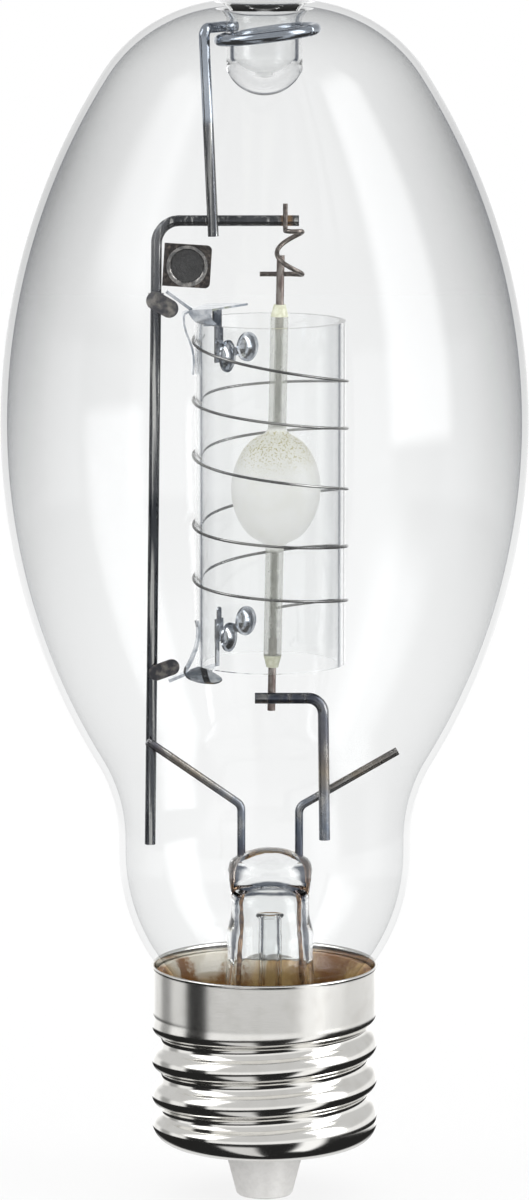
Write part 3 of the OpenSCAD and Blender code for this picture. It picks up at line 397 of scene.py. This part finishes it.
pin_x = FEED_X + PIN_SHIFT
pin_y = -ROD_R - LINK_R - GAP
loop_x = pin_x + LOOP_SHIFT
end_y = FEED_R + LINK_R + GAP
loop_y = end_y - LOOP_R
start_r = math.hypot(pin_x - loop_x, pin_y - loop_y)
loop_steps = 60
line = [(pin_x, pin_y, PIN_TOP), (pin_x, pin_y, ARM_Z - ROD_R)]
for step in range(loop_steps + 1):
    share = step / loop_steps
    turn = math.radians(-150 + 600 * share)
    reach = start_r + (LOOP_R - start_r) * ease(0, 0.22, share)
    bulge = LOOP_BULGE * ease(0.3, 0.5, share) * (1 - ease(0.6, 0.85, share))
    line.append((loop_x + reach * math.cos(turn), loop_y + reach * math.sin(turn) - bulge,
                 LOOP_Z - (LOOP_Z - LINK_END_Z) * ease(0.18, 0.92, share)))
line += [(loop_x - 1, end_y, LINK_END_Z), (loop_x - LINK_END, end_y, LINK_END_Z)]
link = round_wire("bent_link", line, LINK_R)
link.data.materials.append(connector)
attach(link, "root")
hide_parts("top_connector")

# Quartz shroud. An open fused-quartz tube with fire-polished rims, which the two clips hold
# round the arc tube.
quartz, shader, place = finish("quartz", Base_Color=(0.985, 0.99, 0.99), Roughness=0,
                               Transmission_Weight=1, IOR=1.46)
place.feed(shader.inputs["Normal"], bump(noise(place, 90, 2, stretch=(1, 1, 0.25)), 0.2, 0.1 * MM))
dress(quartz, "quartz", "shroud_tube")

# Containment coil. Thin molybdenum wire, wound by hand round the shroud from the upper clip
# down. It lies a little off an even coil, by the millimetres in sag at each half turn.
molybdenum, shader, place = finish("molybdenum", Metallic=1)
streak = noise(place, 90, 2).between(0.35, 0.65)
place.feed(shader.inputs["Base Color"], streak.blend((0.14, 0.14, 0.14), (0.42, 0.42, 0.41)))
place.feed(shader.inputs["Roughness"], 0.22 + streak * 0.1)
SHROUD_TOP = 156.1
SHROUD_R = 13.2
WRAP_R = 0.25
WRAP_DROP = 3.4
WRAP_PITCH = 10.2
WRAP_TURNS = 4.75
WRAP_STEPS = 48
wrap_reach = SHROUD_R + WRAP_R + 2 * GAP
sag = [0, -2.1, -0.3, -0.2, 0.2, -0.7, -1.9, -0.6, -1.2, 0, -2.2]


def settle(half_turns):
    """How far the hand-wound coil lies from an even one, smooth between half turns"""
    step = math.floor(half_turns)
    part = half_turns - step
    one, two, three, four = [sag[max(0, min(len(sag) - 1, step + shift))] for shift in (-1, 0, 1, 2)]
    return two + 0.5 * part * (three - one + part * (2 * one - 5 * two + 4 * three - four
                                                    + part * (3 * (two - three) + four - one)))


line = []
for step in range(-2, int(WRAP_TURNS * WRAP_STEPS) + 1):
    turns = step / WRAP_STEPS
    angle = math.radians(180 + 360 * turns)
    line.append((MOUNT_X + wrap_reach * math.cos(angle), wrap_reach * math.sin(angle),
                 SHROUD_TOP - WRAP_DROP - WRAP_PITCH * turns + settle(2 * turns)))
coil = round_wire("wound_coil", line, WRAP_R)
coil.data.materials.append(molybdenum)
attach(coil, "root")
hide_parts("wrap_wire")

# Shroud clips and straps. The clips are bright stainless spring sheet, stamped and folded over
# the rims of the shroud. The straps that weld them to the frame rod are scorched dark.
spring, shader, place = finish("clip_steel", Metallic=1)
smear = noise(place, 500, 4).between(0.35, 0.7)
place.feed(shader.inputs["Base Color"], smear.blend((0.28, 0.31, 0.35), (0.66, 0.68, 0.71)))
place.feed(shader.inputs["Roughness"], 0.08 + smear * 0.1)
place.feed(shader.inputs["Normal"], bump(noise(place, 1800, 3, stretch=(0.2, 1, 1)), 0.25, 0.04 * MM))
dress(spring, "clip_steel", "upper_clip", "lower_clip")

scorched, shader, place = finish("strap_steel", Metallic=1)
scorch = noise(place, 700, 4).between(0.4, 0.72)
place.feed(shader.inputs["Base Color"], scorch.blend((0.09, 0.09, 0.1), (0.33, 0.31, 0.28)))
place.feed(shader.inputs["Roughness"], 0.42 - scorch * 0.12)
dress(scorched, "strap_steel", "upper_clip_strap", "lower_clip_strap")

# Outer bulb. Blown hard glass with a pressed dimple in the crown, one outline of arcs that meet
# smoothly, spun round the axis. The wall is so thin that what is inside shows unbent, and it
# goes dark at the edges, where the glass turns away, with painted shade whose strength is graded
# by height. Only the dimple is thick and bends light.
BULB_R = 46.2
TOP = 212.4
WIDEST = 137.7
SIDE_R = 114.6
SHOULDER_R = 27.4
CROWN_R = 57
HOLLOW_R = 27.8
NECK_R = 25.72
NECK_Z = 61.8
ROOT_R = 33.5
TAIL_R = 16.4
TAIL_FILLET = 8
TAIL_Z = 18
GLASS = 1.2
CUP_R = 6.65
CUP_Z = 195.4
CUP_END_R = 7.22
CUP_FLOOR = 2.6
MOUTH_R = 3.4
DIMPLE_LOW = 190
DIMPLE_R = 8.6


def meet(first, first_r, second, second_r):
    """Where two circles cross, on the side away from the axis"""
    way_x, way_z = second[0] - first[0], second[1] - first[1]
    apart = math.hypot(way_x, way_z)
    along = (first_r ** 2 - second_r ** 2 + apart ** 2) / (2 * apart)
    off = math.sqrt(first_r ** 2 - along ** 2)
    return (first[0] + (along * way_x + off * way_z) / apart,
            first[1] + (along * way_z - off * way_x) / apart)


def way(centre, other):
    """The direction from one point to another"""
    return math.atan2(other[1] - centre[1], other[0] - centre[0])


side = (BULB_R - SIDE_R, WIDEST)
crown = (0, TOP - CROWN_R)
shoulder = meet(crown, CROWN_R - SHOULDER_R, side, SIDE_R - SHOULDER_R)
hollow_x = NECK_R + HOLLOW_R
hollow = (hollow_x, WIDEST - math.sqrt((SIDE_R + HOLLOW_R) ** 2 - (hollow_x - side[0]) ** 2))
root = (NECK_R - ROOT_R, NECK_Z)
fillet_x = TAIL_R + TAIL_FILLET
fillet = (fillet_x, NECK_Z - math.sqrt((ROOT_R + TAIL_FILLET) ** 2 - (fillet_x - root[0]) ** 2))
mouth_x = CUP_R - GLASS + MOUTH_R
mouth = (mouth_x, crown[1] + math.sqrt((CROWN_R - MOUTH_R) ** 2 - mouth_x ** 2))
floor_r = CUP_R - GLASS + 0.2


def wall(inset):
    """The bulb's outline from its tail to the middle of the dimple, set in by the glass"""
    line = [(TAIL_R - inset, TAIL_Z)]
    line += arc(fillet, TAIL_FILLET + inset, math.pi, way(fillet, root), 8)
    line += arc(root, ROOT_R - inset, way(fillet, root) - math.pi, 0, 18)[1:]
    line += arc(hollow, HOLLOW_R + inset, math.pi, way(hollow, side), 18)[1:]
    line += arc(side, SIDE_R - inset, way(hollow, side) - math.pi, way(side, shoulder), 60)[1:]
    line += arc(shoulder, SHOULDER_R - inset, way(side, shoulder), way(crown, shoulder), 30)[1:]
    line += arc(crown, CROWN_R - inset, way(crown, shoulder), way(crown, mouth), 8)[1:]
    line += arc(mouth, MOUTH_R - inset, way(crown, mouth), math.pi, 16)[1:]
    if inset:
        end = (0, CUP_Z + CUP_END_R)
        line += arc(end, CUP_END_R, -math.acos(CUP_R / CUP_END_R), -math.pi / 2, 14)
    else:
        end = (0, CUP_Z + CUP_FLOOR + floor_r)
        line += arc(end, floor_r, -math.acos((CUP_R - GLASS) / floor_r), -math.pi / 2, 14)
    return line


outside, inside = wall(0), wall(GLASS)
bulb = lathe("blown_bulb", outside + inside[::-1] + outside[:1], 144)


def clear_glass(name, mirror, power):
    """Thin clear glass: light passes straight on, dims and then mirrors as the wall turns away, with
    painted shade graded by height
    """
    material = bpy.data.materials.new(name)
    material.use_nodes = True
    tree = material.node_tree
    tree.nodes.remove(tree.nodes["Principled BSDF"])
    part = Tone(tree)
    clear = part.make("BsdfTransparent", {"Color": (0.997, 0.999, 0.999)})
    dim = part.make("BsdfTransparent", {"Color": (0.02, 0.025, 0.03)})
    gloss = part.make("BsdfGlossy", {"Color": mirror, "Roughness": 0})
    turned = part.make("LayerWeight", {"Blend": 0.5}, out="Facing")
    height = part.make("TexCoord", out="Object").axis("Z")
    # Painted shade: the edge darkening and the edge mirror are graded by height, strongest from 85 to 175
    # mm and weaker under the crown, and the wall is dimmed a little more above 90 mm so the lower bulb
    # looks lighter
    below_top = 1 - 0.35 * height.between(178 * MM, 205 * MM)
    painted_edge_grade = (0.22 + 0.78 * height.between(85 * MM, 175 * MM)) * below_top
    shade = 0.32 * painted_edge_grade * turned ** 1.8 + 0.011 * height.between(90 * MM, 150 * MM)
    edge = 0.03 + 0.9 * painted_edge_grade * turned ** power
    passed = part.make("MixShader", {0: shade, 1: clear, 2: dim})
    mixed = part.make("MixShader", {0: edge, 1: passed, 2: gloss})
    part.feed(tree.nodes["Material Output"].inputs["Surface"], mixed)
    return material


bulb.data.materials.append(clear_glass("bulb_outside", (1, 1, 1), 15))
bulb.data.materials.append(clear_glass("bulb_inside", (0.35, 0.36, 0.38), 8))
thick_glass, shader, place = finish("dimple_glass", Base_Color=(0.98, 0.985, 0.985), Roughness=0,
                                    Transmission_Weight=1, IOR=1.47)
bulb.data.materials.append(thick_glass)
for face in bulb.data.polygons:
    middle = face.center
    outward = (middle.x, middle.y, middle.z - WIDEST * MM)
    if sum(first * second for first, second in zip(outward, face.normal)) < 0:
        face.material_index = 1
    if middle.z > DIMPLE_LOW * MM and math.hypot(middle.x, middle.y) < DIMPLE_R * MM:
        face.material_index = 2
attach(bulb, "root")
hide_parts("outer_bulb")

# Screw shell. Thin brass sheet, nickel-plated, with a rolled knuckle thread that runs out under
# a plain skirt and above a rounded corner. Rolling has polished the thread, the skirt stays
# satin, and the inside of the skirt is stained brown by the cement.
THREAD_R = 19.7
PITCH = 6.35
DEPTH = 1.75
SKIRT_R = 19.5
RIM_Z = 41.8
RIM_FLARE = 0.25
RIM_LIP = 0.3
RUNOUT_Z = 33.4
RUNOUT = 3.2
CREST_Z = 26.2
SHEET = 0.35
CORNER_R = 3.65
SHELL_Z = 10.05
HOLE_R = 13.2


def knuckle(rise):
    """How far a rolled thread stands out, from two equal arcs"""
    radius = ((DEPTH / 2) ** 2 + (PITCH / 4) ** 2) / DEPTH
    off = abs(rise - PITCH * round(rise / PITCH))
    if off <= PITCH / 4:
        return DEPTH + math.sqrt(radius ** 2 - off ** 2) - radius
    return radius - math.sqrt(radius ** 2 - (PITCH / 2 - off) ** 2)


def shell_radius(height, angle):
    """The outside of the shell, with the thread fading out at both of its ends"""
    plain = ease(RUNOUT_Z - RUNOUT, RUNOUT_Z, height)
    rolled = ease(SHELL_Z + CORNER_R - 0.9, SHELL_Z + CORNER_R + 1.5, height)
    cut = DEPTH - knuckle(height - CREST_Z - PITCH * (angle + math.pi / 2) / (2 * math.pi))
    return THREAD_R + (SKIRT_R - THREAD_R) * plain - rolled * (1 - plain) * cut


corner = (THREAD_R - CORNER_R, SHELL_Z + CORNER_R)
thread_rows = 110
rise = (RIM_Z - RIM_LIP - corner[1]) / thread_rows
rows = [(HOLE_R, SHELL_Z)] + arc(corner, CORNER_R, -math.pi / 2, 0, 12)
rows += [(THREAD_R, corner[1] + rise * row) for row in range(1, thread_rows + 1)]
rows += [(THREAD_R + RIM_FLARE, RIM_Z)]
shell = lathe("threaded_shell", rows, 144)
for point in shell.data.vertices:
    height = point.co.z / MM
    if height > corner[1]:
        angle = math.atan2(point.co.y, point.co.x)
        reach = (shell_radius(height, angle) + RIM_FLARE * ease(RIM_Z - 0.4, RIM_Z, height)) * MM
        point.co.x, point.co.y = reach * math.cos(angle), reach * math.sin(angle)
bpy.ops.object.select_all(action="DESELECT")
shell.select_set(True)
bpy.context.view_layer.objects.active = shell
sheet = shell.modifiers.new("sheet", "SOLIDIFY")
sheet.thickness = SHEET * MM
sheet.offset = -1
bpy.ops.object.modifier_apply(modifier="sheet")
nickel, shader, place = finish("shell_nickel", Metallic=1)
height = place.axis("Z")
satin = height.between(30 * MM, 33.5 * MM)
brush = noise(place, 1500, 4, 0.6, stretch=(0.5, 0.5, 4))
spots = noise(place, 300, 4).between(0.4, 0.8)
plate = spots.blend((0.86, 0.85, 0.82), (0.8, 0.785, 0.75))
across = place.make("VectorMath", {0: place, 1: (1, 1, 0)}, operation="MULTIPLY")
reach = across.make("VectorMath", {0: across}, out="Value", operation="LENGTH")
within = (1 - reach.between(19.25 * MM, 19.4 * MM)) * height.between(34 * MM, 36 * MM)
stain = within * noise(place, 240, 5, 0.65).between(0.4, 0.56)
place.feed(shader.inputs["Base Color"], stain.blend(plate, (0.42, 0.24, 0.08)))
place.feed(shader.inputs["Roughness"], 0.1 + satin * 0.08 + brush * 0.04 + stain * 0.35)
place.feed(shader.inputs["Normal"], bump(brush * satin, 0.12, 0.02 * MM))
shell.data.materials.append(nickel)
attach(shell, "root")
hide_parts("screw_shell")

# Insulator, end contact and solder. Black vitrite glass closes the shell and holds a tapered
# contact of tinned brass. Drops of solder fix the leads to the contact and to the shell.
vitrite, shader, place = finish("vitrite", Roughness=0.12)
swirl = noise(place, 600).between(0.3, 0.7)
place.feed(shader.inputs["Base Color"], swirl.blend((0.02, 0.015, 0.02), (0.05, 0.04, 0.05)))
dress(vitrite, "insulator", "base_insulator")

tinned, shader, place = finish("contact_metal", Metallic=0.25)
cast = noise(place, 900, 5, 0.6)
silvery = cast.between(0.35, 0.7).blend((0.84, 0.83, 0.81), (0.78, 0.77, 0.75))
place.feed(shader.inputs["Base Color"], silvery)
place.feed(shader.inputs["Roughness"], 0.42 + cast * 0.12)
place.feed(shader.inputs["Normal"], bump(cast, 0.3, 0.08 * MM))
dress(tinned, "contact_metal", "centre_contact")

solder, shader, place = finish("solder", Metallic=1)
crust = noise(place, 1500).between(0.3, 0.7)
place.feed(shader.inputs["Base Color"], crust.blend((0.55, 0.55, 0.55), (0.4, 0.4, 0.4)))
place.feed(shader.inputs["Roughness"], 0.3 + noise(place, 900) * 0.2)
dress(solder, "solder", "contact_solder", "shell_solder")

# Cement. Baked brown basing cement fills the gap between the neck of the bulb and the shell. It
# is crumbly, darker where it burnt, and chalky white at the back on the left.
cement, shader, place = finish("cement", Roughness=0.5)
crumb = noise(place, 900, 5, 0.65)
burnt = noise(place, 130, 3, stretch=(1, 1, 0.4)) * 0.75 + crumb * 0.25
baked = burnt.between(0.38, 0.6).blend((0.27, 0.11, 0.025), (0.66, 0.42, 0.16))
behind = (place.axis("Y") - place.axis("X") * 0.8).between(17 * MM, 21 * MM)
chalk = behind * place.axis("Z").between(35 * MM, 38 * MM) * burnt.between(0.4, 0.5)
place.feed(shader.inputs["Base Color"], chalk.blend(baked, (0.78, 0.72, 0.6)))
place.feed(shader.inputs["Normal"], bump(crumb, 0.5, 0.2 * MM))
dress(cement, "cement", "base_cement")

# Studio. A white backdrop, seen straight on and through the glass, with tall soft boxes at the
# sides and dark flags between them, which draw the edges of the glass and the thread. A turn
# is counted in degrees from the camera, round the lamp, and is positive to the right.
world = bpy.data.worlds.new("studio")
bpy.context.scene.world = world
world.use_nodes = True
sky = Tone(world.node_tree)
gaze = sky.make("TexCoord", out="Generated")
gx, gy, gz = gaze.axis("X"), gaze.axis("Y"), gaze.axis("Z")
turn = sky.reckon("ARCTAN2", gx, 0 - gy) * (180 / math.pi)


def box_light(left, right, soft=4):
    """1 between two turns, with edges that fade"""
    return turn.between(left - soft, left + soft) * (1 - turn.between(right - soft, right + soft))


# What the metal and the outside of the glass mirror, from below the table's edge to overhead
upper = gz.between(-0.27, -0.215)
low = 1 - upper
level = upper * (1 - gz.between(0.02, 0.25))
overhead = 1 - gz.between(0.75, 0.9)
walls = 0.95 - box_light(-88, -61, 3) * 0.95 - box_light(-132, -112, 5) * 0.6
lights = level * walls + (upper - level) * 0.62
left_box = gz.between(0.15, 0.35) * overhead * box_light(-90, -58, 9) * 3
right_box = gz.between(-0.13, -0.07) * overhead * box_light(57, 88, 4) * 4
right_strip = low * gz.between(-0.9, -0.8) * box_light(38, 66, 6) * 1.1
left_strip = low * (1 - gz.between(-0.62, -0.45)) * box_light(-52, -10, 6) * 0.7
sides = abs(gx).between(0.4, 0.65)
table_glow = (gy * 0.755 - gz * 0.656).between(0.89, 0.95) * low * (1 - sides) * 0.75
back_glow = gy.between(0.84, 0.95) * upper * 0.4
mirrored = 0.02 + lights + left_box + right_box + right_strip + left_strip + table_glow + back_glow

# What thick glass bends into view, white straight behind it and dark blue-grey at the sides
ahead = (gy.between(0.74, 0.92) + 1 - gz.between(-0.6, -0.42)).between(0, 1)
through_glass = ahead.blend((0.08, 0.095, 0.125), (1, 1, 1))
refracted = gy.between(0.1, 0.35).blend(mirrored, through_glass)
seen = sky.make("LightPath", out="Is Transmission Ray").blend(mirrored, refracted)

# What lights the dull surfaces, evenly from all sides, and what the camera sees
diffuse = sky.make("LightPath", out="Diffuse Depth").between(0.2, 0.8)
lit = diffuse.blend(seen, (1.5, 1.5, 1.5))
backdrop = world.node_tree.nodes["Background"]
sky.feed(backdrop.inputs["Color"], sky.make("LightPath", out="Is Camera Ray").blend(lit, (1, 1, 1)))
backdrop.inputs["Strength"].default_value = 1

# Floor. A wide white table, which glows to the camera almost as bright as the backdrop, and
# keeps the soft shadow of the lamp.
bpy.ops.object.select_all(action="DESELECT")
bpy.ops.mesh.primitive_plane_add(size=3)
floor = bpy.context.object
floor.name = "floor"
floor.visible_glossy = False
floor.visible_transmission = False
white, shader, place = finish("floor_white", Base_Color=(0.9, 0.9, 0.9), Roughness=0.9)
glow = place.make("Emission", {"Color": (1, 1, 1), "Strength": 0.93})
facing = place.make("LightPath", out="Is Camera Ray") + place.make("LightPath", out="Is Diffuse Ray")
lacquer = Tone(white.node_tree, shader.outputs["BSDF"])
table = place.make("MixShader", {0: facing.between(0.2, 0.8) * 0.85, 1: lacquer, 2: glow})
place.feed(white.node_tree.nodes["Material Output"].inputs["Surface"], table)
floor.data.materials.append(white)
floor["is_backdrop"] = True

# Camera. It stands 1.14 m in front of the lamp, 70 mm above the crown, and looks down a little,
# with the focal length that fits the photograph.
CAMERA_Y = -1137.665
CAMERA_Z = 282.306
CAMERA_TILT = 8.77
SENSOR = 36
FOCAL_PIXELS = 6556.2
PICTURE_PIXELS = 1200
camera_data = bpy.data.cameras.new("camera")
camera = bpy.data.objects.new("camera", camera_data)
bpy.context.scene.collection.objects.link(camera)
camera.location = (0, CAMERA_Y * MM, CAMERA_Z * MM)
camera.rotation_euler = (math.radians(90 - CAMERA_TILT), 0, 0)
camera_data.sensor_width = SENSOR
camera_data.lens = SENSOR * FOCAL_PIXELS / PICTURE_PIXELS
camera_data.clip_start = 0.01
bpy.context.scene.camera = camera
bpy.context.scene.view_settings.view_transform = "Standard"

# Size.
low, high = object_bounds()
